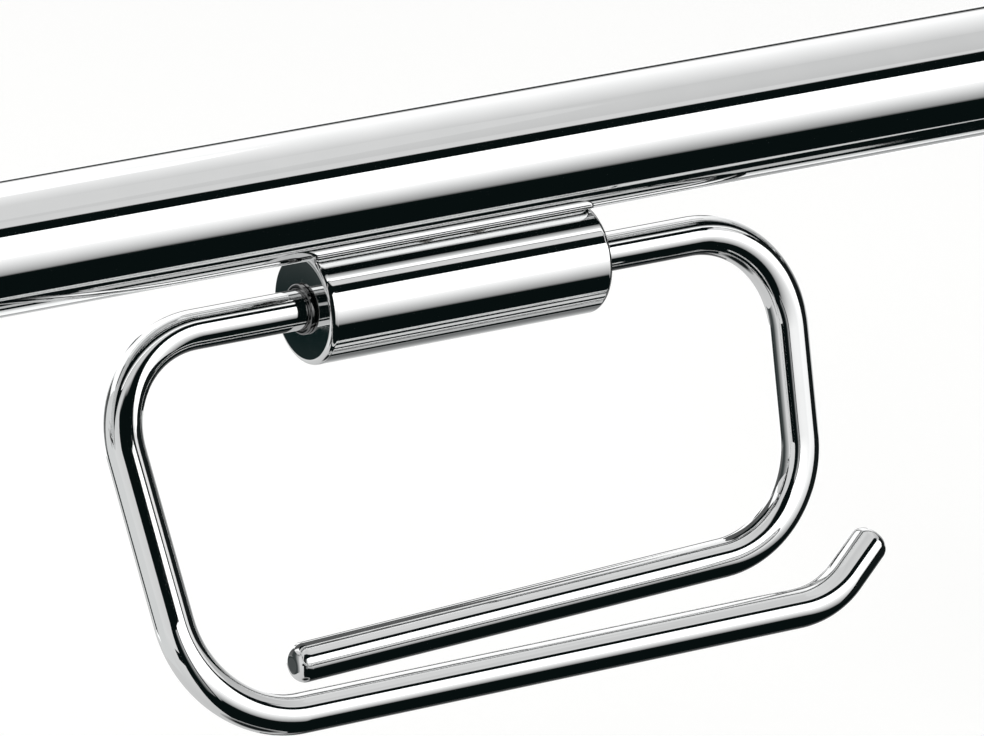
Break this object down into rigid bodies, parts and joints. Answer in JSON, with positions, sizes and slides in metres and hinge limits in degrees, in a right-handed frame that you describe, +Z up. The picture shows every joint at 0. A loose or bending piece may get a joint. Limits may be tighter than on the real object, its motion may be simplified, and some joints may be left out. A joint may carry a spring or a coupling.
{
  "type": "grab bar toilet paper holder",
  "caption": "Chrome grab bar on two wall flanges, with a toilet paper holder under it: a roll bar and a brake bar turn in a short cylinder screwed to the tube.",
  "frame": {"origin": "on the wall plane, midway between the two wall flanges, at the height of the bar's axis", "axes": "+X along the bar to the right seen from the room, +Y into the wall, +Z up"},
  "size_m": [0.6748, 0.1665, 0.1541],
  "materials": {
    "polished_chrome": "polished chrome plate",
    "stainless_steel": "plain turned and stamped stainless steel",
    "black_acetal": "turned black acetal",
    "black_rubber": "moulded nitrile rubber"
  },
  "bodies": {
    "bar": {"grab_bar_tube": "polished_chrome", "cover_rose_left": "polished_chrome", "cover_rose_right": "polished_chrome", "housing": "polished_chrome", "wall_plate_left": "stainless_steel", "wall_plate_right": "stainless_steel", "bar_lock_screw_left": "stainless_steel", "bar_lock_screw_right": "stainless_steel", "wall_screw_left_1": "stainless_steel", "wall_screw_left_2": "stainless_steel", "wall_screw_left_3": "stainless_steel", "wall_screw_right_1": "stainless_steel", "wall_screw_right_2": "stainless_steel", "wall_screw_right_3": "stainless_steel", "mount_screw_left": "stainless_steel", "mount_screw_right": "stainless_steel", "washer_left": "stainless_steel", "washer_right": "stainless_steel", "rivet_nut_left": "stainless_steel", "rivet_nut_right": "stainless_steel", "retaining_screw_left": "stainless_steel", "retaining_screw_right": "stainless_steel", "bush_left": "black_acetal", "bush_right": "black_acetal"},
    "roll_arm": {"roll_arm": "polished_chrome", "friction_ring_left": "black_rubber"},
    "brake_arm": {"brake_arm": "polished_chrome", "friction_ring_right": "black_rubber"}
  },
  "joints": [
    {"name": "roll_arm_pivot", "type": "hinge", "parent": "bar", "child": "roll_arm", "pos_m": [0, -0.064, -0.03], "axis": [-1, 0, 0], "range_deg": [-71.1, 93.9]},
    {"name": "brake_arm_pivot", "type": "hinge", "parent": "bar", "child": "brake_arm", "pos_m": [0, -0.064, -0.03], "axis": [-1, 0, 0], "range_deg": [-51.5, 113.5]}
  ]
}
